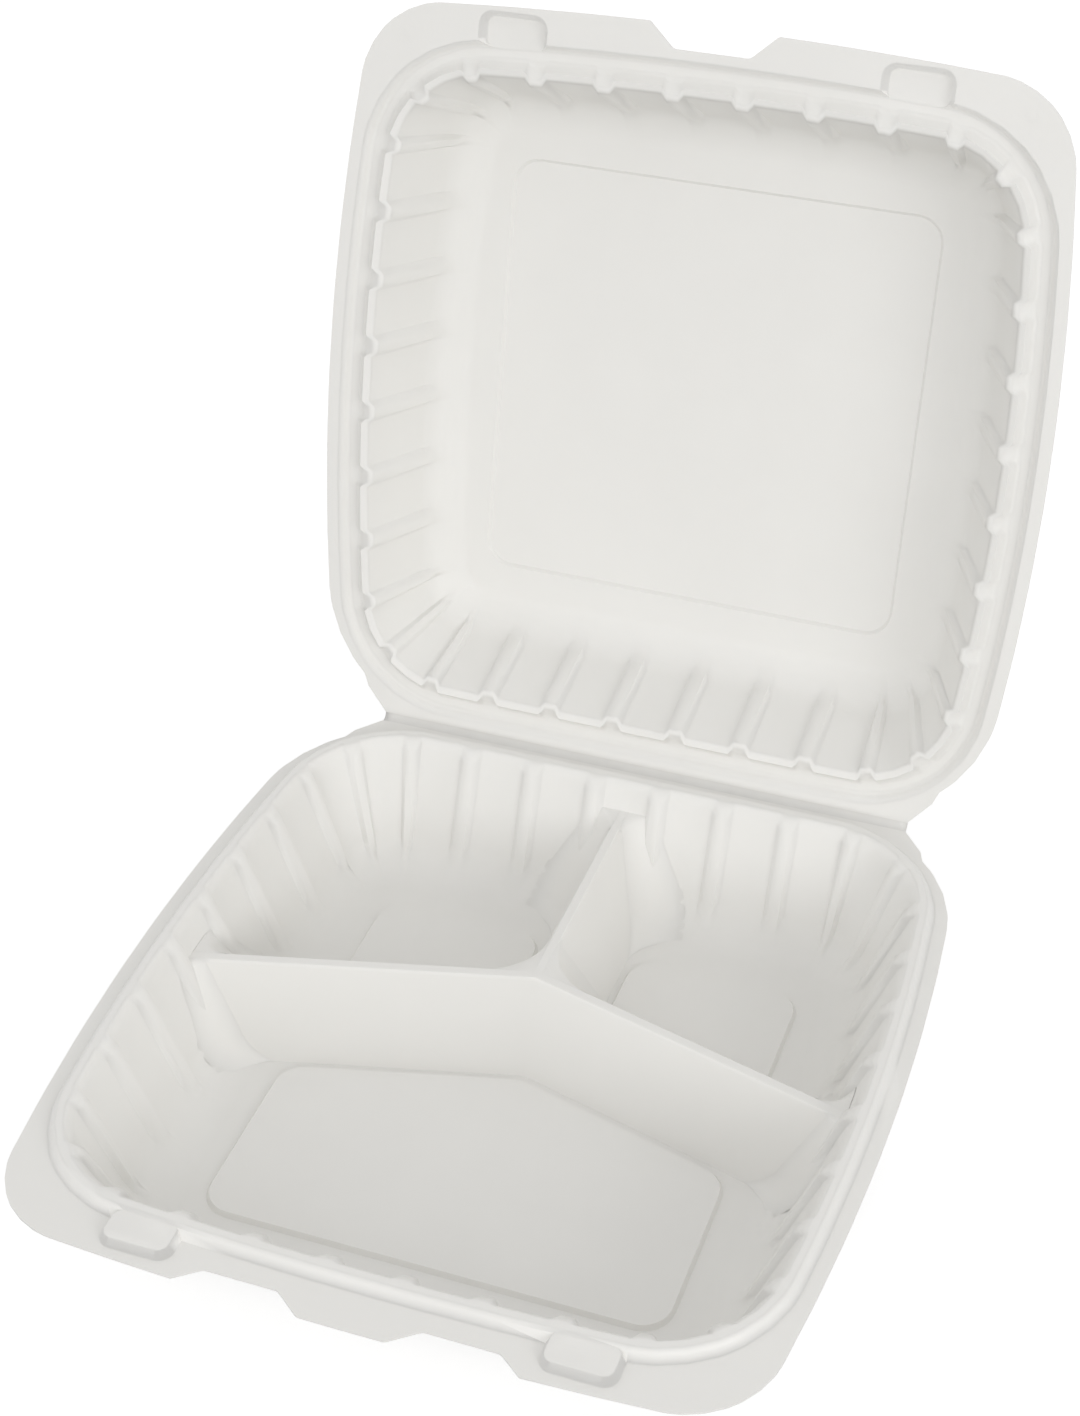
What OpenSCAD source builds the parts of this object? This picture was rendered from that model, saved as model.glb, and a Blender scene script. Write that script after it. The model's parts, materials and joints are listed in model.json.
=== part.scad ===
// Takeout container: a three-compartment tray and its lid, formed from one white plastic sheet
// and joined along a living hinge. Modelled standing open. Millimetres, +Z up.
// The origin lies on the face the tray rests on, in its middle plane, just in front of the dividers.
// +Y points to the hinge, +X to the right.

/* [Rim] */
// Width of the tray between the crests of its rim ridge
rim_w = 213.6; // [200:0.1:230]
// Length of the tray between the crests of its rim ridge, front to back
rim_l = 209.4; // [196:0.1:226]
// Corner radius of the ridge crest
rim_r = 36; // [34:0.5:44]
// Radius of the gentle bow of the two sides
side_bow_r = 700; // [500:10:2000]
// Radius of the gentle bow of the front
front_bow_r = 1310; // [800:10:4000]
// Height of the rim ridge above the flange
ridge_h = 3.5; // [2.5:0.1:4.5]
// Width of the rim ridge at its foot
ridge_w = 7.4; // [6.6:0.1:9]
// Width of the flat top of the rim ridge
ridge_top_w = 1.6; // [1.2:0.1:2]
// Width of the rolled lip between the lid's groove and its wall
lip_w = 2.6; // [2:0.1:3.2]
// Fall of the rolled lip towards the wall
lip_fall = 0.8; // [0.4:0.1:1.2]

/* [Flange] */
// Reach of the flange beyond the crest at the sides
flange_side = 7.7; // [6.5:0.1:10]
// Reach of the flange beyond the crest at the front
flange_front = 15.1; // [14.6:0.1:18]
// How much shorter the lid's flange is at the front
lid_short = 1.2; // [0:0.1:3]
// Outer corner radius of the flange at the front
flange_r_front = 27; // [22:0.5:32]
// Outer corner radius of the flange beside the hinge
flange_r_rear = 45; // [40:0.5:48]

/* [Sheet and walls] */
// Thickness of the formed sheet
wall = 0.7; // [0.5:0.05:1]
// Lean of the walls from upright, in degrees
draft = 22; // [16:0.5:25]
// Depth of the tray from its flange to its floor
tray_depth = 35.5; // [32:0.5:44]
// Radius between the tray's walls and its floor
tray_fillet = 16; // [12:0.5:18]
// Depth of the lid from its flange to its top
lid_depth = 31.5; // [29:0.5:40]
// Radius between the lid's walls and its top
lid_fillet = 15; // [12:0.5:17]
// How far the floor and the lid's top lie nearer the front than the rim
floor_forward = 3; // [0:0.5:5]

/* [Ribs] */
// Number of ribs between the middle of the back and the middle of the front
ribs_per_half = 18; // [14:2:20]
// How far a rib stands in from the wall
rib_depth = 2; // [1:0.1:2.4]
// Width of a rib at its foot
rib_foot = 7; // [6:0.1:9]
// Width of a rib at its face
rib_face = 3.6; // [2:0.1:4.5]

/* [Dividers] */
// Depth of the divider tops below the flange
divider_drop = 5.5; // [4:0.5:10]
// Width of a divider at its top
divider_top_w = 4.4; // [3.6:0.1:6]
// Lean of the divider faces from upright, in degrees
divider_draft = 20; // [14:0.5:22]
// Distance of the dividers' meeting point behind the middle
divider_fork = 20; // [10:1:30]
// Angle at which the two side dividers fall forward, in degrees
divider_angle = 14; // [6:0.5:20]
// Height over which a divider's top edges are taken off
divider_ease = 1; // [0.6:0.1:1.4]

/* [Floor panels] */
// Height of the raised panels on the compartment floors
panel_h = 1.5; // [0.8:0.1:2.5]
// Margin between the panels and the wall fillets
panel_margin = 8.5; // [6:0.5:12]
// Margin between the panels and the feet of the dividers
panel_gap = 2; // [1:0.5:4]
// Corner radius of the panels
panel_r = 9; // [6:0.5:11]
// Height of the square step in the lid's top
lid_step = 1; // [0.6:0.1:1.6]

/* [Locks] */
// Distance between the middles of the two locking pads
pad_pitch = 122; // [116:0.5:126]
// Width of a locking pad at its top
pad_w = 17; // [13:0.5:18]
// Length of a locking pad at its top
pad_l = 8; // [6:0.5:8.5]
// Corner radius of a locking pad at its top
pad_r = 2; // [1:0.5:3]
// Height of a locking pad
pad_h = 2.6; // [1.8:0.1:3]
// Widening of a locking pad from top to foot, on each side
pad_flare = 1.8; // [1.4:0.1:2.2]
// Distance of the pads' middles in front of the ridge crest
pad_out = 6.1; // [5.6:0.1:6.4]
// Free space around the ridge and the pads when the lid is closed
fit_gap = 0.5; // [0.4:0.05:0.7]
// Free space between the two flanges when the lid is closed
seat_gap = 0.8; // [0.6:0.1:1.2]

/* [Tab and finger notches] */
// Width of the pull tab at the tray's front edge
tab_w = 24; // [18:0.5:30]
// Width of each notch beside the tab at its inner end
notch_w = 21; // [14:0.5:24]
// Depth of the tray's notches
notch_d = 6; // [3:0.1:7]
// Width of the lid's finger notch at its inner end
lid_notch_w = 23; // [16:0.5:30]
// Depth of the lid's finger notch
lid_notch_d = 7.2; // [4:0.1:8]
// Slant of the notch ends, measured along the edge
notch_slant = 8; // [5:0.5:10]
// Rounding of the notch corners
notch_r = 2.5; // [1:0.5:3]
// Diameter of the small spacer nubs in the lid's front corners
nub_d = 4.4; // [3:0.1:6]
// Height of the spacer nubs
nub_h = 0.4; // [0.2:0.05:0.5]
// Distance of the nubs inside the side crests
nub_in_x = 13; // [11:0.5:18]
// Distance of the nubs in front of the front crest
nub_out_y = 1.5; // [0:0.5:3]

/* [Hinge] */
// Distance from the rear ridge crest to the hinge line
hinge_out = 7.8; // [7.2:0.1:10]
// Radius of the rolled crease on the hinge line
crease_r = 1.1; // [0.9:0.05:1.3]
// Length of the hinge
hinge_l = 177; // [160:1:180]
// Rounding where the flanges narrow to the hinge
neck_r = 8; // [5:0.5:10]
// Free space between the crease and the edge of the lid
crease_gap = 0.4; // [0.3:0.05:0.6]
// Angle of the lid from closed, in degrees
lid_open = 107.4; // [0:0.1:180]

/* [Hidden] */

// Fineness of small round forms
$fn = 32;
// Radius that stands for a straight side
straight_r = 1e6;
// Depth to which cutting forms reach past the sheet
past = 6;
// Steps of each wall fillet
fillet_steps = 4;

crest_x = rim_w / 2;
crest_y = rim_l / 2;
// Level of the tray's flange, and of the hinge line midway between the closed flanges
flange_z = tray_depth + wall;
hinge_y = crest_y + hinge_out;
hinge_z = flange_z + seat_gap / 2;
// Distance from the hinge line to the edges of the tray's and the lid's flanges
edge_off = crease_r + crease_gap;

// Ridge profile in [outward, up] from its crest line, from the wall side to the flange side
ridge_half = ridge_w / 2;
ridge_top = ridge_top_w / 2;
ridge_shoulder = (ridge_half + ridge_top) / 2 - 0.2;
ridge = [
    [-ridge_half, 0],
    [-ridge_shoulder, ridge_h * 0.7],
    [-ridge_top, ridge_h],
    [ridge_top, ridge_h],
    [ridge_shoulder, ridge_h * 0.7],
    [ridge_half, 0]
];

// How far a ridge point is carried inward by a rib, from the crest to the foot of the wall side
function rib_share(off) = off >= 0 ? 0 : min(1, -off / ridge_half);

// Outlines
// An outline is given for its right half, from the middle of the back to the middle of the front,
// as five arcs [centre, radius, first angle, last angle].

function bearing(v) = atan2(v[1], v[0]);

// Meeting point of two circles, on the side that the direction d points to
function circles_meet(c1, r1, c2, r2, d) =
    let (
        gap = norm(c2 - c1),
        u = (c2 - c1) / gap,
        a = (r1 * r1 - r2 * r2 + gap * gap) / (2 * gap),
        h = sqrt(r1 * r1 - a * a),
        side = [-u[1], u[0]],
        s = side * d > 0 ? 1 : -1
    )
    c1 + u * a + side * h * s;

function outline(half_x, front, rear, r_front, r_rear, side_r, front_r) =
    let (
        back = [0, rear - straight_r],
        side = [half_x - side_r, 0],
        head = [0, front_r - front],
        k_rear = circles_meet(side, side_r - r_rear, back, straight_r - r_rear, [1, 0.2]),
        k_front = circles_meet(side, side_r - r_front, head, front_r - r_front, [1, -0.2]),
        a1 = bearing(k_rear - back),
        a2 = bearing(k_rear - side),
        a3 = bearing(k_front - side),
        a4 = bearing(k_front - head)
    )
    [
        [back, straight_r, 90, a1],
        [k_rear, r_rear, a1, a2],
        [side, side_r, a2, a3],
        [k_front, r_front, a3, a4],
        [head, front_r, a4, -90]
    ];

crest = outline(crest_x, crest_y, crest_y, rim_r, rim_r, side_bow_r, front_bow_r);

function flange_edge(front) = outline(
    crest_x + flange_side,
    front,
    hinge_y - edge_off,
    flange_r_front,
    flange_r_rear,
    side_bow_r + flange_side,
    front_bow_r + flange_front
);

tray_edge = flange_edge(crest_y + flange_front);
lid_edge = flange_edge(crest_y + flange_front - lid_short);

// Stations along the right half as [arc, share of the arc, rib weight], ribs evenly spaced on the crest

arc_lengths = [for (a = crest) a[1] * abs(a[3] - a[2]) * PI / 180];
half_length = arc_lengths * [1, 1, 1, 1, 1];
rib_pitch = half_length / ribs_per_half;

function locate(s, weight, arc = 0) =
    arc == 4 || s <= arc_lengths[arc]
        ? [arc, s / arc_lengths[arc], weight]
        : locate(s - arc_lengths[arc], weight, arc + 1);

// A corner also gets a station halfway between two ribs
function in_corner(s) = let (arc = locate(s, 0)[0]) arc == 1 || arc == 3;

stations = [
    locate(0, 0),
    for (k = [0 : ribs_per_half - 1])
        let (s = k * rib_pitch, m = s + rib_pitch / 2)
        each concat(
            in_corner(s) ? [locate(s, 0)] : [],
            [
                locate(m - rib_foot / 2, 0),
                locate(m - rib_face / 2, 1),
                locate(m + rib_face / 2, 1),
                locate(m + rib_foot / 2, 0)
            ]
        ),
    locate(half_length, 0)
];

// One ring of the formed sheet: an outline moved outward by off and brought to height z

function half_ring(form, off, z, rib, shift) = [
    for (s = stations)
        let (
            a = form[s[0]],
            t = a[2] + (a[3] - a[2]) * s[1],
            n = [cos(t), sin(t)],
            p = a[0] + n * (a[1] + off - rib * s[2])
        )
        [p[0], p[1] - shift, z]
];

// A half ring and its mirror image
function both_halves(right) =
    let (last = len(right) - 1)
    concat(right, [for (i = [last - 1 : -1 : 1]) [-right[i][0], right[i][1], right[i][2]]]);

function ring(form, off, z, rib = 0, shift = 0) = both_halves(half_ring(form, off, z, rib, shift));

// The flange's edge, carried on to the ends of the hinge with a hollow rounding beside them
edge_rear = hinge_y - edge_off;
neck_x = hinge_l / 2;

function neck_y(x) =
    x > neck_x + neck_r ? -straight_r : edge_rear - sqrt(pow(neck_r, 2) - pow(neck_x + neck_r - x, 2));

function edge_ring(form, z) =
    let (
        right = half_ring(form, 0, z, 0, 0),
        inner = len([for (p = right) if (p[1] > 0 && p[0] < neck_x) p]) - 1
    )
    both_halves([
        for (i = [0 : len(right) - 1])
            let (p = right[i])
            i < inner ? [p[0], edge_rear, z]
                : i == inner ? [neck_x, edge_rear, z]
                : p[1] < 0 ? p
                : [p[0], max(p[1], neck_y(p[0])), z]
    ]);

// Profiles
// A profile is a list of [outward, up, rib depth] from the floor to the foot of the rim's outer side.

// Wall and fillet below a rim point, ending level at depth
function wall_profile(off, z, depth, r) =
    let (
        tangent = r * tan((90 - draft) / 2),
        run = (depth + z) * tan(draft),
        centre = [off - run - tangent, r - depth],
        turn = 90 - draft
    )
    concat(
        [
            for (i = [0 : fillet_steps])
                let (a = -90 + turn * i / fillet_steps)
                [
                    centre[0] + r * cos(a),
                    centre[1] + r * sin(a),
                    rib_depth * pow(i / fillet_steps, 2)
                ]
        ],
        [[off, z, rib_depth]]
    );

// Distance from the crest to the level floor
function floor_inset(profile) = -profile[0][0];

tray_ridge = [for (p = ridge) [p[0], p[1], rib_depth * rib_share(p[0])]];
tray_profile = concat(
    wall_profile(-ridge_half, 0, tray_depth, tray_fillet),
    [for (i = [1 : len(ridge) - 1]) tray_ridge[i]]
);

// Left-hand normal of a step of a profile
function left_of(a, b) = let (d = [b[0] - a[0], b[1] - a[1]]) [-d[1], d[0]] / norm(d);

// The profile moved by t to its left, with level ends
function moved(profile, t) =
    let (last = len(profile) - 1)
    [
        for (i = [0 : last])
            let (
                p = profile[i],
                before = i == 0 ? [0, 1] : left_of(profile[i - 1], p),
                after = i == last ? [0, 1] : left_of(p, profile[i + 1]),
                m = before + after
            )
            [p[0] + m[0] * 2 * t / (m * m), p[1] + m[1] * 2 * t / (m * m), p[2]]
    ];

// The lid's groove is the tray's ridge with the fit gap around it, turned over.
// Its inner end rolls over into a lip, and the lid's wall follows from there.
groove_over = moved(tray_ridge, fit_gap);
groove = [for (p = groove_over) [p[0], -p[1] + fit_gap, p[2]]];
lip_start = groove[0];
lip_end = [lip_start[0] - lip_w, lip_start[1] - lip_fall];
lid_profile = concat(
    wall_profile(lip_end[0], lip_end[1], lid_depth, lid_fillet),
    [[lip_start[0] - lip_w * 0.55, lip_start[1] - lip_fall * 0.4, rib_depth]],
    groove
);

// Sheets

function forward(z, depth) = floor_forward * max(0, -z) / depth;

function profile_rings(profile, depth) = [
    for (p = profile) ring(crest, p[0], p[1], p[2], forward(p[1], depth))
];

function turned(list) = [for (i = [len(list) - 1 : -1 : 0]) list[i]];

// Solid through a stack of rings, closed at both ends
module loft(rings) {
    n = len(rings[0]);
    last = len(rings) - 1;
    sides = [
        for (k = [0 : last - 1], i = [0 : n - 1])
            let (j = (i + 1) % n, a = k * n, b = a + n)
            each [[a + i, b + i, b + j], [a + i, b + j, a + j]]
    ];
    ends = [[for (i = [0 : n - 1]) i], [for (i = [n - 1 : -1 : 0]) last * n + i]];
    polyhedron(points = [for (r = rings) each r], faces = concat(sides, ends));
}

// The sheet that follows a profile, out to the flange's edge
module sheet(profile, depth, edge) {
    under = moved(profile, -wall);
    loft(concat(
        profile_rings(profile, depth),
        [edge_ring(edge, 0), edge_ring(edge, -wall)],
        profile_rings(turned(under), depth)
    ));
}

// The space over a profile and the flange around it at level
module space_over(profile, depth, edge, level) {
    loft(concat(
        [ring(edge, past, past)],
        [ring(edge, past, level)],
        profile_rings(turned(profile), depth)
    ));
}

// Forms that stand up from the floor or the flange. Each grows by g, the thickness laid over it.

// Upright post that narrows to its top, with its top edge taken off
module post(r_foot, r_top, h, ease) {
    cylinder(h = h - ease, r1 = r_foot, r2 = r_top);
    cylinder(h = h, r = max(0.2, r_top - ease));
}

divider_h = tray_depth - divider_drop;
divider_foot = divider_top_w / 2 + divider_h * tan(divider_draft);
fork_y = divider_fork;

module divider_post(g) {
    grow = g / cos(divider_draft);
    translate([0, 0, -past])
        post(
            divider_foot + past * tan(divider_draft) + grow - wall,
            divider_top_w / 2 + grow - wall,
            past + divider_h + g,
            divider_ease
        );
}

// One divider from the fork, at an angle from +X
module divider_arm(angle, g) {
    reach = rim_w / 2;
    hull() {
        divider_post(g);
        translate([reach * cos(angle), reach * sin(angle), 0]) divider_post(g);
    }
}

module dividers(g) {
    translate([0, fork_y, 0])
        for (angle = [90, -divider_angle, 180 + divider_angle]) divider_arm(angle, g);
}

// Rounded panel through corner points, raised by h
module panel(corners, r, h, g) {
    hull()
        for (c = corners)
            translate([c[0], c[1], -past]) cylinder(h = past + h + g, r1 = r + g + 0.4, r2 = r + g - 0.4);
}

tray_inset = floor_inset(tray_profile);
panel_x = crest_x - tray_inset - panel_margin - panel_r;
panel_front = -(crest_y - tray_inset) - floor_forward + panel_margin + panel_r;
panel_rear = crest_y - tray_inset - floor_forward - panel_margin - panel_r;
// Clear distance of the panel corners from a divider's middle
panel_clear = divider_foot + panel_gap + panel_r;

// Level of a side divider's line, moved sideways by off, at the distance x from the middle
function arm_y(x, off) = fork_y - x * tan(divider_angle) + off / cos(divider_angle);

module panels(g) {
    panel(
        [
            [-panel_x, panel_front],
            [panel_x, panel_front],
            [panel_x, arm_y(panel_x, -panel_clear)],
            [0, arm_y(0, -panel_clear)],
            [-panel_x, arm_y(panel_x, -panel_clear)]
        ],
        panel_r, panel_h, g
    );
    for (side = [-1, 1])
        panel(
            [
                [side * panel_clear, panel_rear],
                [side * panel_x, panel_rear],
                [side * panel_x, arm_y(panel_x, panel_clear)],
                [side * panel_clear, arm_y(panel_clear, panel_clear)]
            ],
            panel_r, panel_h, g
        );
}

// Locking pads in front of the ridge, on the flange
pad_x = pad_pitch / 2;
pad_y = -crest_y - pad_out + front_bow_r - sqrt(front_bow_r * front_bow_r - pad_x * pad_x);

module pads(g) {
    foot = pad_r + pad_flare + g;
    for (side = [-1, 1])
        translate([side * pad_x, pad_y, 0])
            hull()
                for (sx = [-1, 1], sy = [-1, 1])
                    translate([sx * (pad_w / 2 - pad_r), sy * (pad_l / 2 - pad_r), 0]) {
                        cylinder(h = pad_h + g, r1 = foot, r2 = pad_r + g);
                        translate([0, 0, -past]) cylinder(h = past, r = foot);
                    }
}

// Cut with slanted, rounded ends, w wide at its inner end and d deep from the edge at y
module notch(x, y, w, d) {
    translate([x, y, -past])
        linear_extrude(2 * past)
            offset(-notch_r) offset(2 * notch_r) offset(-notch_r)
                polygon([
                    [-w / 2 - notch_slant * 4, -3 * d],
                    [-w / 2 - notch_slant * 4, -d * 0.02],
                    [-w / 2 - notch_slant, 0],
                    [-w / 2, d],
                    [w / 2, d],
                    [w / 2 + notch_slant, 0],
                    [w / 2 + notch_slant * 4, -d * 0.02],
                    [w / 2 + notch_slant * 4, -3 * d]
                ]);
}

// Square step in the middle of the lid's top
module lid_panel(g) {
    inset = floor_inset(lid_profile);
    x = crest_x - inset - panel_margin - panel_r;
    y = crest_y - inset - panel_margin - panel_r;
    translate([0, -floor_forward, 0])
        panel([[-x, -y], [x, -y], [x, y], [-x, y]], panel_r, lid_step, g);
}

// Pockets for the locking pads, and the step in the lid's top, as they sink below the lid's sheet
module lid_hollows(g) {
    mirror([0, 0, 1]) pads(fit_gap + g);
    translate([0, 0, -lid_depth]) mirror([0, 0, 1]) lid_panel(g);
}

// Sub-parts

// Level of the origin: between the front panel and the dividers, where the floor touches the table
origin_y = fork_y - (divider_foot + panel_gap / 2) / cos(divider_angle);

module tray() {
    edge_y = -crest_y - flange_front;
    notch_x = tab_w / 2 + notch_slant + notch_w / 2;
    color("ghostwhite")
        translate([0, -origin_y, flange_z])
            difference() {
                union() {
                    sheet(tray_profile, tray_depth, tray_edge);
                    intersection() {
                        union() {
                            translate([0, 0, -tray_depth - wall]) {
                                dividers(wall);
                                panels(wall);
                            }
                            translate([0, 0, -wall]) pads(wall);
                        }
                        space_over(moved(tray_profile, -wall / 2), tray_depth, tray_edge, -wall / 2);
                    }
                }
                translate([0, 0, -tray_depth - wall]) {
                    dividers(0);
                    panels(0);
                }
                translate([0, 0, -wall]) pads(0);
                for (side = [-1, 1]) notch(side * notch_x, edge_y, notch_w, notch_d);
            }
}

module hinge() {
    color("ghostwhite")
        translate([0, hinge_y - origin_y, hinge_z]) {
            rotate([0, 90, 0]) cylinder(r = crease_r, h = hinge_l, center = true);
            translate([-hinge_l / 2, -edge_off, -seat_gap / 2 - wall])
                cube([hinge_l, edge_off, wall]);
        }
}

// The lid lying on its back, hollow up, with its flange at z = 0 and the tray's plan
module lid_form() {
    edge_y = -crest_y - flange_front + lid_short;
    nub_x = crest_x - nub_in_x;
    nub_y = -crest_y - nub_out_y;
    difference() {
        union() {
            sheet(lid_profile, lid_depth, lid_edge);
            difference() {
                lid_hollows(wall);
                space_over(moved(lid_profile, -wall / 2), lid_depth, lid_edge, -wall / 2);
            }
        }
        lid_hollows(0);
        notch(0, edge_y, lid_notch_w, lid_notch_d);
    }
    for (side = [-1, 1])
        translate([side * nub_x, nub_y, -wall / 2])
            hull() {
                cylinder(h = wall / 2, d = nub_d);
                cylinder(h = wall / 2 + nub_h, d = nub_d / 2);
            }
}

module lid() {
    color("ghostwhite")
        translate([0, hinge_y - origin_y, hinge_z])
            rotate([-lid_open, 0, 0])
                translate([0, -hinge_y, seat_gap / 2])
                    mirror([0, 0, 1]) lid_form();
}

tray();
hinge();
lid();
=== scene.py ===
"""Looks of the takeout container: a white formed-sheet tray and lid joined along a living hinge.

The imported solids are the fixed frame. The tray and the lid are softened copies of their solids,
the dividers get rounded inner corners, and the hinge is a thin web that bends between tray and lid.
"""

import json
import logging
import math
from dataclasses import dataclass, field
from enum import Enum

import bmesh
import bpy
from mathutils import Matrix, Vector


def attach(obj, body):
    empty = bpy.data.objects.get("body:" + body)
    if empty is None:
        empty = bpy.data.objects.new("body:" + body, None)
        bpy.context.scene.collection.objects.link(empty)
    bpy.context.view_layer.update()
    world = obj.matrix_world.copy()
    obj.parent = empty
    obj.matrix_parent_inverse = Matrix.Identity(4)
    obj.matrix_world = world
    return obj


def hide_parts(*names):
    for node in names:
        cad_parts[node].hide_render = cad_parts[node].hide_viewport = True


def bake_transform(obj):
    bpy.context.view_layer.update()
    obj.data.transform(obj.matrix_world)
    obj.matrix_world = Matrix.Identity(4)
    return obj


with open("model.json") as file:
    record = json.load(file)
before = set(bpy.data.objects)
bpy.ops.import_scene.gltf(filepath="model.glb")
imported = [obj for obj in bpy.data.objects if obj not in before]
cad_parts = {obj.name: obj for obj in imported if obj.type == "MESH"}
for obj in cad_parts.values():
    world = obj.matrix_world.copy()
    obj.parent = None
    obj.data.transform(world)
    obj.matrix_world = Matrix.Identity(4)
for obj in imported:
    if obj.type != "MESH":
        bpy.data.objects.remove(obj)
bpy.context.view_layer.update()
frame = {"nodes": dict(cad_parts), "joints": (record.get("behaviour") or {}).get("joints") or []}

LOG = logging.getLogger("takeout_container")
MM = 0.001
HINGE = Vector(frame["joints"][0]["pos_m"])
OPENED = -math.radians(frame["joints"][0]["range_deg"][0])
CLOUD_DETAIL = 3.0
GRAIN_DETAIL = 2.0
NOISE_ROUGHNESS = 0.55
WHITE = (1, 1, 1, 1)


class Body(Enum):
    """The two bodies that the hinge joins."""

    TRAY = "tray"
    LID = "lid"


class Lamp(Enum):
    """The studio's soft lamps: name, place and side in metres, and power in watts."""

    KEY = ("key_lamp", (1.7, -1.1, 0.8), 0.9, 9.4)
    FILL = ("fill_lamp", (0.0, -2.2, 0.6), 1.2, 8.4)


def grain_group() -> bpy.types.NodeTree:
    """Build the shared effect of a formed sheet: faint clouding and a fine matt grain.

    Returns:
        The node group, with Cloud and Grain outputs that vary over the surface.
    """
    group = bpy.data.node_groups.new("sheet_grain", "ShaderNodeTree")
    sockets = group.interface
    sockets.new_socket("Cloud Scale", in_out="INPUT", socket_type="NodeSocketFloat")
    sockets.new_socket("Grain Scale", in_out="INPUT", socket_type="NodeSocketFloat")
    sockets.new_socket("Cloud", in_out="OUTPUT", socket_type="NodeSocketFloat")
    sockets.new_socket("Grain", in_out="OUTPUT", socket_type="NodeSocketFloat")
    nodes, links = group.nodes, group.links
    inputs = nodes.new("NodeGroupInput")
    outputs = nodes.new("NodeGroupOutput")
    place = nodes.new("ShaderNodeTexCoord")
    effects = (("Cloud Scale", "Cloud", CLOUD_DETAIL), ("Grain Scale", "Grain", GRAIN_DETAIL))
    for scale, output, detail in effects:
        noise = nodes.new("ShaderNodeTexNoise")
        noise.inputs["Detail"].default_value = detail
        noise.inputs["Roughness"].default_value = NOISE_ROUGHNESS
        links.new(place.outputs["Object"], noise.inputs["Vector"])
        links.new(inputs.outputs[scale], noise.inputs["Scale"])
        links.new(noise.outputs["Fac"], outputs.inputs[output])
    return group


@dataclass(frozen=True)
class SheetFinish:
    """Satin off-white plastic sheet.

    Attributes:
        name: Name of the material.
        pale: Colour of the clear places.
        deep: Colour of the clouded places.
        smooth: Roughness of the clear places.
        matt: Roughness of the clouded places.
        cloud_scale: Fineness of the clouding, per metre.
        grain_scale: Fineness of the grain, per metre.
        grain_height: Height of the grain, in metres.
        grain_strength: Strength of the grain's bump.
        ior: Refractive index.
        milky: Share of the light that passes into the sheet.
        milky_radius: How far each colour spreads in it, relative to milky_reach.
        milky_reach: How far light spreads in it, in metres.
    """

    name: str
    pale: tuple[float, float, float]
    deep: tuple[float, float, float]
    smooth: float = 0.42
    matt: float = 0.54
    cloud_scale: float = 28.0
    grain_scale: float = 900.0
    grain_height: float = 0.00005
    grain_strength: float = 0.35
    ior: float = 1.49
    milky: float = 0.12
    milky_radius: tuple[float, float, float] = (1.0, 0.95, 0.9)
    milky_reach: float = 0.0015

    def material(self, grain: bpy.types.NodeTree) -> bpy.types.Material:
        """Make the material.

        Args:
            grain: The shared clouding and grain group.

        Returns:
            A procedural material on Object coordinates.
        """
        material = bpy.data.materials.new(self.name)
        material.use_nodes = True
        nodes, links = material.node_tree.nodes, material.node_tree.links
        shader = nodes["Principled BSDF"]
        shader.inputs["IOR"].default_value = self.ior
        shader.inputs["Subsurface Weight"].default_value = self.milky
        shader.inputs["Subsurface Radius"].default_value = self.milky_radius
        shader.inputs["Subsurface Scale"].default_value = self.milky_reach
        effect = nodes.new("ShaderNodeGroup")
        effect.node_tree = grain
        effect.inputs["Cloud Scale"].default_value = self.cloud_scale
        effect.inputs["Grain Scale"].default_value = self.grain_scale
        tint = nodes.new("ShaderNodeMix")
        tint.data_type = "RGBA"
        tint.inputs["A"].default_value = (*self.pale, 1.0)
        tint.inputs["B"].default_value = (*self.deep, 1.0)
        links.new(effect.outputs["Cloud"], tint.inputs["Factor"])
        links.new(tint.outputs["Result"], shader.inputs["Base Color"])
        rough = nodes.new("ShaderNodeMapRange")
        rough.inputs["To Min"].default_value = self.smooth
        rough.inputs["To Max"].default_value = self.matt
        links.new(effect.outputs["Cloud"], rough.inputs["Value"])
        links.new(rough.outputs["Result"], shader.inputs["Roughness"])
        bump = nodes.new("ShaderNodeBump")
        bump.inputs["Strength"].default_value = self.grain_strength
        bump.inputs["Distance"].default_value = self.grain_height
        links.new(effect.outputs["Grain"], bump.inputs["Height"])
        links.new(bump.outputs["Normal"], shader.inputs["Normal"])
        return material


SHEET = SheetFinish(
    "white_formed_sheet",
    pale=(0.85, 0.84, 0.811),
    deep=(0.815, 0.805, 0.777),
)
# Finish of the hinge web: darker than the sheet, as painted shade of the fold between tray and lid.
SHADED_CREASE = SheetFinish(
    "crease_painted_shade",
    pale=(0.80, 0.79, 0.762),
    deep=(0.73, 0.721, 0.697),
    cloud_scale=90.0,
)


def add_object(name: str, mesh: bpy.types.Mesh) -> bpy.types.Object:
    """Put a mesh into the scene at the origin.

    Args:
        name: Name of the new piece.
        mesh: Its mesh, already in place.

    Returns:
        The new object.
    """
    piece = bpy.data.objects.new(name, mesh)
    bpy.context.scene.collection.objects.link(piece)
    return piece


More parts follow.
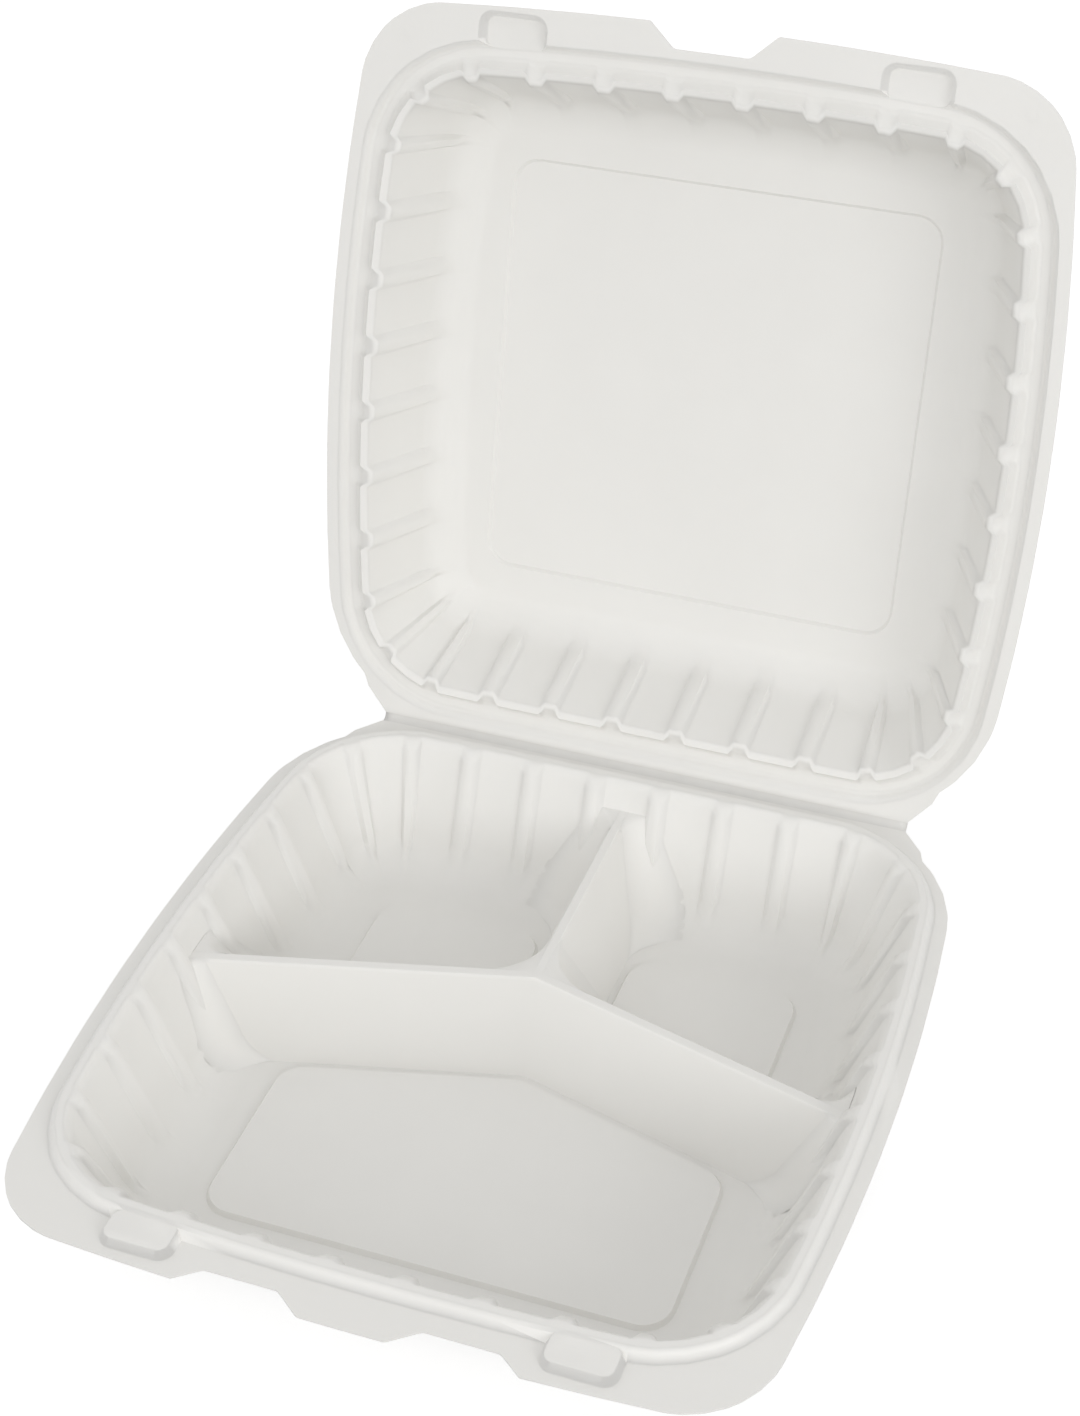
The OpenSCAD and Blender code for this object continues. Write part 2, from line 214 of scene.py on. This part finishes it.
@dataclass
class FormedSheet:
    """The tray or the lid: a copy of its solid with soft edges.

    Attributes:
        body: The body it rides on, which has the solid's name too.
        crisp: Angle above which an edge of the walls stays sharp, in degrees.
        rim_crisp: Angle above which an edge of the rim stays sharp, in degrees.
        rim_reach: Distance from the flange's level within which an edge is the rim's, in metres.
        weld: Distance within which the solid's corners are merged, in metres.
        level: Angle within which neighbouring triangles are joined into one face, in degrees.
        panel_area: Area above which a face may be a panel's, in square metres.
        panel_corners: Number of corners that a panel's face has, with its rounded corners.
        panel_slope: How far the panels' faces are drawn in, in metres.
    """

    body: Body
    crisp: float = 44.0
    rim_crisp: float = 62.0
    rim_reach: float = 5 * MM
    weld: float = 0.000005
    level: float = 0.4
    panel_area: float = 1500 * MM * MM
    panel_corners: range = range(30, 41)
    panel_slope: float = 0.8 * MM

    def slope_panels(self, form: bmesh.types.BMesh) -> None:
        """Draw in the faces of the flat panels, so that their steps slope as a formed sheet's do.

        Args:
            form: The merged copy, with one face for each side of a panel.
        """
        for face in form.faces:
            if face.calc_area() < self.panel_area or len(face.verts) not in self.panel_corners:
                continue
            moves = []
            for loop in face.loops:
                along = loop.link_loop_next.vert.co - loop.link_loop_prev.vert.co
                moves.append((loop.vert, face.normal.cross(along).normalized() * self.panel_slope))
            for corner, move in moves:
                bmesh.ops.translate(form, verts=[corner], vec=move)

    def limit(self, edge: bmesh.types.BMEdge) -> float:
        """Tell above which angle an edge stays sharp.

        Args:
            edge: An edge of the merged copy.

        Returns:
            The rim's angle near the level of the flange, and the walls' angle elsewhere, in radians.
        """
        turn = Matrix.Rotation(-OPENED if self.body is Body.LID else 0.0, 3, "X")
        middle = (edge.verts[0].co + edge.verts[1].co) / 2
        height = (middle - HINGE).dot(turn @ Vector((0, 0, 1)))
        return math.radians(self.rim_crisp if abs(height) < self.rim_reach else self.crisp)

    def build(self) -> bpy.types.Object:
        """Copy the solid, merge its corners and soften its edges.

        Returns:
            The softened copy.
        """
        mesh = bpy.data.meshes.new(f"{self.body.value}_sheet")
        form = bmesh.new()
        form.from_mesh(frame["nodes"][self.body.value].data)
        bmesh.ops.remove_doubles(form, verts=form.verts, dist=self.weld)
        bmesh.ops.dissolve_limit(
            form, angle_limit=math.radians(self.level), verts=form.verts, edges=form.edges
        )
        self.slope_panels(form)
        form.normal_update()
        for face in form.faces:
            face.smooth = True
        for edge in form.edges:
            edge.smooth = edge.calc_face_angle(0.0) < self.limit(edge)
        form.to_mesh(mesh)
        form.free()
        piece = add_object(mesh.name, mesh)
        soften = piece.modifiers.new("soft_edges", "WEIGHTED_NORMAL")
        soften.mode = "FACE_AREA"
        soften.keep_sharp = True
        return piece

    def dress(self, piece: bpy.types.Object, material: bpy.types.Material) -> None:
        """Give the piece its finish and put it on its body.

        Args:
            piece: The softened copy.
            material: The finish.
        """
        piece.data.materials.append(material)
        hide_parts(self.body.value)
        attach(piece, self.body.value)


@dataclass
class HingeWeb:
    """The living hinge: a thin strip from the tray's rear edge to the lid's.

    Attributes:
        length: Length along the crease, in metres.
        thickness: Thickness of the strip, in metres.
        edge: Distance from the hinge line to the edges that it joins, in metres.
        level: Distance of the flanges' middles from the hinge line when closed, in metres.
        overlap: How far the strip reaches into each flange, in metres.
        steps: Strips across the fold.
        segments: Strips along the crease.
    """

    length: float = 177 * MM
    thickness: float = 0.5 * MM
    edge: float = 1.5 * MM
    level: float = 0.75 * MM
    overlap: float = 0.8 * MM
    steps: int = 14
    segments: int = 60

    def ends(self) -> tuple[Vector, Vector, Vector]:
        """Find the fold's first point, corner and last point in the middle plane.

        Returns:
            The tray's edge, the point where both flanges would meet, and the lid's edge.
        """
        turn = Matrix.Rotation(-OPENED, 3, "X")
        first = Vector((0, -self.edge, -self.level))
        last = turn @ Vector((0, -self.edge, self.level))
        along = turn @ Vector((0, -1, 0))
        corner = last + along * ((first.z - last.z) / along.z)
        return HINGE + first, HINGE + corner, HINGE + last

    def section(self, share: float) -> Vector:
        """Find a point of the fold's middle plane.

        Args:
            share: Share of the way across the fold, from tray to lid.

        Returns:
            The point, in metres.
        """
        first, corner, last = self.ends()
        reach = self.overlap / ((corner - first).length + (last - corner).length)
        t = share * (1 + 2 * reach) - reach
        if t < 0:
            return first + (corner - first).normalized() * (t / reach * self.overlap)
        if t > 1:
            return last + (last - corner).normalized() * ((t - 1) / reach * self.overlap)
        return first.lerp(corner, t).lerp(corner.lerp(last, t), t)

    def build(self) -> bpy.types.Object:
        """Shape a flat strip along the fold and give it thickness.

        Returns:
            The strip.
        """
        mesh = bpy.data.meshes.new("hinge_web")
        form = bmesh.new()
        bmesh.ops.create_grid(form, x_segments=self.segments, y_segments=self.steps, size=0.5)
        for corner in form.verts:
            place = self.section(corner.co.y + 0.5)
            corner.co = Vector((corner.co.x * self.length, place.y, place.z))
        bmesh.ops.recalc_face_normals(form, faces=form.faces)
        for face in form.faces:
            face.smooth = True
        form.to_mesh(mesh)
        form.free()
        piece = add_object(mesh.name, mesh)
        wall = piece.modifiers.new("wall", "SOLIDIFY")
        wall.thickness = self.thickness
        wall.offset = 0.0
        return piece

    def dress(self, piece: bpy.types.Object, material: bpy.types.Material) -> None:
        """Give the strip its finish and fix it in place between the tray and the lid.

        Args:
            piece: The strip.
            material: The finish.
        """
        # The strip's finish is darker than the sheet: painted shade of the fold.
        piece.data.materials.append(material)
        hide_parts("hinge")
        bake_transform(piece)


@dataclass(frozen=True)
class Level:
    """One height of the dividers' rounded corners.

    Attributes:
        height: Height over the table, in millimetres.
        half_width: Half width of the dividers there, in millimetres.
        side: Distance of the side walls from the middle, in millimetres.
        rear: Place of the rear wall, in millimetres.
        share: Share of the corner's radius that is used there.
    """

    height: float
    half_width: float
    side: float
    rear: float
    share: float


@dataclass
class DividerCorners:
    """The rounded inner corners where the dividers meet each other and the walls.

    Attributes:
        fork: Distance from the hinge line to the dividers' meeting point, in millimetres.
        angle: Fall of the side dividers towards the front, in degrees.
        fork_radius: Radius where the dividers meet each other, in millimetres.
        rear_radius: Radius where the rear divider meets the wall, in millimetres.
        side_radius: Radius where the side dividers meet the walls, in millimetres.
        sink: How far the roundings' ends lie inside the sheet, in millimetres.
        steps: Facets of each rounding.
        crisp: Angle above which an edge stays sharp, in degrees.
        levels: The heights, from the floor to the dividers' tops.
    """

    fork: float = 92.5
    angle: float = 14.0
    fork_radius: float = 19.0
    rear_radius: float = 14.0
    side_radius: float = 12.0
    sink: float = 0.1
    steps: int = 16
    crisp: float = 50.0
    levels: tuple[Level, ...] = (
        Level(0.75, 12.87, 81.5, 70.0, 1.0),
        Level(2.5, 12.23, 84.8, 74.6, 1.0),
        Level(4.0, 11.68, 87.2, 77.3, 1.0),
        Level(8.0, 10.21, 90.9, 81.3, 1.0),
        Level(12.0, 8.74, 93.0, 83.7, 1.0),
        Level(20.0, 5.81, 96.3, 87.6, 0.85),
        Level(28.0, 2.87, 99.5, 91.5, 0.7),
        Level(29.68, 2.25, 100.2, 92.4, 0.66),
        Level(30.2, 1.95, 100.4, 92.65, 0.62),
        Level(30.66, 1.25, 100.6, 92.85, 0.56),
    )

    def face_point(self, x: float, offset: float) -> Vector:
        """Find a point of the right divider's face.

        Args:
            x: Distance from the middle, in millimetres.
            offset: Distance of the face from the divider's middle, positive towards the rear.

        Returns:
            The point in plan, in millimetres.
        """
        fall = math.radians(self.angle)
        y = HINGE.y / MM - self.fork + offset / math.cos(fall) - x * math.tan(fall)
        return Vector((x, y, 0))

    def plans(self, level: Level) -> list[list[Vector]]:
        """Lay out the four corners of the right half at one height.

        Args:
            level: The height.

        Returns:
            The outline of each corner in plan, in millimetres.
        """
        fall = math.radians(self.angle)
        outwards = Vector((math.cos(fall), -math.sin(fall), 0))
        rear, front, right = Vector((0, 1, 0)), Vector((0, -1, 0)), Vector((1, 0, 0))
        rear_radius = self.rear_radius * level.share
        side_radius = self.side_radius * level.share
        width = level.half_width
        return [
            self.rounding(self.face_point(width, width), rear, outwards, self.fork_radius),
            self.rounding(Vector((width, level.rear, 0)), front, right, rear_radius),
            self.rounding(self.face_point(level.side, width), -outwards, rear, side_radius),
            self.rounding(self.face_point(level.side, -width), -outwards, front, side_radius),
        ]

    def rounding(self, corner: Vector, first: Vector, second: Vector, radius: float) -> list[Vector]:
        """Round one corner in plan.

        Args:
            corner: Where the two faces meet.
            first: Direction of one face from there.
            second: Direction of the other face from there.
            radius: Radius of the rounding.

        Returns:
            A point inside the sheet, then the rounding's points from the first face to the second.
        """
        between = (first + second).normalized()
        half = first.angle(second) / 2
        corner = corner - between * self.sink
        centre = corner + between * (radius / math.sin(half))
        reach = radius / math.tan(half)
        start = corner + first * reach - centre
        end = corner + second * reach - centre
        turns = [start.slerp(end, step / self.steps) for step in range(self.steps + 1)]
        return [corner - between * self.sink, *(centre + turn.normalized() * radius for turn in turns)]

    def build(self) -> bpy.types.Object:
        """Join the plans of all heights into solids and mirror them to the other side.

        Returns:
            All the corners, as one piece.
        """
        mesh = bpy.data.meshes.new("divider_corners")
        form = bmesh.new()
        for outlines in zip(*(self.plans(level) for level in self.levels)):
            loops = []
            for level, outline in zip(self.levels, outlines):
                lift = Vector((0, 0, level.height))
                ring = [form.verts.new((point + lift) * MM) for point in outline]
                loops.append([form.edges.new(pair) for pair in zip(ring, ring[1:] + ring[:1])])
            for lower, upper in zip(loops, loops[1:]):
                bmesh.ops.bridge_loops(form, edges=lower + upper)
            for end in (loops[0], loops[-1]):
                bmesh.ops.edgenet_fill(form, edges=end)
        half = form.verts[:] + form.edges[:] + form.faces[:]
        bmesh.ops.mirror(form, geom=half, axis="X", merge_dist=-1.0)
        bmesh.ops.recalc_face_normals(form, faces=form.faces)
        for face in form.faces:
            face.smooth = True
        for edge in form.edges:
            edge.smooth = edge.calc_face_angle(0.0) < math.radians(self.crisp)
        form.to_mesh(mesh)
        form.free()
        return add_object(mesh.name, mesh)

    def dress(self, piece: bpy.types.Object, material: bpy.types.Material) -> None:
        """Give the corners the sheet's finish and put them on the tray.

        Args:
            piece: The corners.
            material: The finish.
        """
        piece.data.materials.append(material)
        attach(piece, Body.TRAY.value)


@dataclass
class Studio:
    """White studio: the camera of the photograph, soft lamps and a white floor.

    Attributes:
        eye: Place of the camera, in metres.
        ahead: Direction in which it looks.
        right: Direction of the picture's right side.
        focal: Focal length, in pixels of the photograph.
        image: Width and height of the photograph, in pixels.
        centre: Pixel where the camera's axis meets the photograph.
        sensor: Width of the camera's sensor, in millimetres.
        near: Nearest distance that the camera sees, in metres.
        far: Furthest distance that it sees, in metres.
        target: Point that the lamps face, in metres.
        world_strength: Light of the surroundings on the object.
        floor_size: Half side of the floor, in metres.
        floor_drop: Distance of the floor below the object, in metres.
        floor_grey: Share of the light that the floor gives back.
        floor_glow: Light that makes the floor white to the eye.
    """

    eye: Vector = field(default_factory=lambda: Vector((0.1951, -0.46095, 0.5287)))
    ahead: Vector = field(default_factory=lambda: Vector((-0.2568, 0.7391, -0.6228)))
    right: Vector = field(default_factory=lambda: Vector((0.9459, 0.3245, -0.005)))
    focal: float = 2414.79
    image: tuple[int, int] = (1080, 1416)
    centre: tuple[float, float] = (631.43, 736.17)
    sensor: float = 36.0
    near: float = 0.01
    far: float = 50.0
    target: Vector = field(default_factory=lambda: Vector((0, 0.04, 0.09)))
    world_strength: float = 0.765
    floor_size: float = 6.0
    floor_drop: float = 0.5 * MM
    floor_grey: float = 0.5
    floor_glow: float = 0.68

    def camera(self) -> None:
        """Set up the camera at the photograph's viewpoint."""
        width, height = self.image
        data = bpy.data.cameras.new("photo_camera")
        data.sensor_width = self.sensor
        data.lens = self.focal / height * self.sensor
        data.shift_x = (width / 2 - self.centre[0]) / height
        data.shift_y = (self.centre[1] - height / 2) / height
        data.clip_start = self.near
        data.clip_end = self.far
        back = -self.ahead.normalized()
        side = (self.right - back * self.right.dot(back)).normalized()
        up = back.cross(side)
        turn = Matrix((side, up, back)).transposed().to_4x4()
        camera = bpy.data.objects.new("photo_camera", data)
        camera.matrix_world = Matrix.Translation(self.eye) @ turn
        bpy.context.scene.collection.objects.link(camera)
        bpy.context.scene.camera = camera

    def lamp(self, lamp: Lamp) -> None:
        """Hang one square soft lamp that faces the object.

        Args:
            lamp: Which lamp it is.
        """
        name, place, size, power = lamp.value
        data = bpy.data.lights.new(name, "AREA")
        data.shape = "SQUARE"
        data.size = size
        data.energy = power
        thing = bpy.data.objects.new(name, data)
        thing.location = Vector(place)
        thing.rotation_mode = "QUATERNION"
        thing.rotation_quaternion = (self.target - Vector(place)).to_track_quat("-Z", "Y")
        bpy.context.scene.collection.objects.link(thing)

    def looked_at(self, tree: bpy.types.NodeTree) -> bpy.types.NodeSocket:
        """Tell the rays that look at a surface from those that only light it.

        Args:
            tree: The nodes to add the test to.

        Returns:
            A value of one for camera, glossy and transmission rays, and zero for the rest.
        """
        path = tree.nodes.new("ShaderNodeLightPath")
        seen = path.outputs["Is Camera Ray"]
        for ray in ("Is Glossy Ray", "Is Transmission Ray"):
            either = tree.nodes.new("ShaderNodeMath")
            either.operation = "MAXIMUM"
            tree.links.new(seen, either.inputs[0])
            tree.links.new(path.outputs[ray], either.inputs[1])
            seen = either.outputs["Value"]
        return seen

    def world(self) -> None:
        """Make the surroundings white to the eye and evenly bright to the object."""
        world = bpy.data.worlds.new("white_studio")
        world.use_nodes = True
        nodes, links = world.node_tree.nodes, world.node_tree.links
        light = nodes["Background"]
        light.inputs["Color"].default_value = WHITE
        light.inputs["Strength"].default_value = self.world_strength
        seen = nodes.new("ShaderNodeBackground")
        seen.inputs["Color"].default_value = WHITE
        mix = nodes.new("ShaderNodeMixShader")
        links.new(self.looked_at(world.node_tree), mix.inputs["Fac"])
        links.new(light.outputs["Background"], mix.inputs[1])
        links.new(seen.outputs["Background"], mix.inputs[2])
        links.new(mix.outputs["Shader"], nodes["World Output"].inputs["Surface"])
        bpy.context.scene.world = world

    def floor(self) -> None:
        """Lay a white floor that still takes the object's shadow."""
        mesh = bpy.data.meshes.new("studio_floor")
        form = bmesh.new()
        bmesh.ops.create_grid(form, x_segments=1, y_segments=1, size=self.floor_size)
        bmesh.ops.translate(form, verts=form.verts, vec=Vector((0, 0, -self.floor_drop)))
        form.to_mesh(mesh)
        form.free()
        material = bpy.data.materials.new("white_floor")
        material.use_nodes = True
        nodes, links = material.node_tree.nodes, material.node_tree.links
        nodes.remove(nodes["Principled BSDF"])
        matt = nodes.new("ShaderNodeBsdfDiffuse")
        matt.inputs["Color"].default_value = (*[self.floor_grey] * 3, 1)
        glow = nodes.new("ShaderNodeEmission")
        level = nodes.new("ShaderNodeMath")
        level.operation = "MULTIPLY"
        level.inputs[1].default_value = self.floor_glow
        links.new(self.looked_at(material.node_tree), level.inputs[0])
        links.new(level.outputs["Value"], glow.inputs["Strength"])
        both = nodes.new("ShaderNodeAddShader")
        links.new(matt.outputs["BSDF"], both.inputs[0])
        links.new(glow.outputs["Emission"], both.inputs[1])
        links.new(both.outputs["Shader"], nodes["Material Output"].inputs["Surface"])
        mesh.materials.append(material)
        add_object("studio_floor", mesh)

    def build(self) -> None:
        """Set up the camera, the lamps, the surroundings and the floor."""
        self.camera()
        self.world()
        self.floor()
        for lamp in Lamp:
            self.lamp(lamp)
        bpy.context.scene.view_settings.view_transform = "Standard"


def main() -> None:
    """Build the studio and the container, piece by piece."""
    logging.basicConfig(level=logging.INFO, format="%(name)s: %(message)s")
    Studio().build()
    grain = grain_group()
    white = SHEET.material(grain)
    crease_shade = SHADED_CREASE.material(grain)
    assemblies = (
        (FormedSheet(Body.TRAY), white),
        (FormedSheet(Body.LID), white),
        (DividerCorners(), white),
        # The hinge web takes the darker finish, painted shade in the fold.
        (HingeWeb(), crease_shade),
    )
    for assembly, finish in assemblies:
        piece = assembly.build()
        assembly.dress(piece, finish)
        LOG.info("%s: %d faces", piece.name, len(piece.data.polygons))


if __name__ == "__main__":
    main()
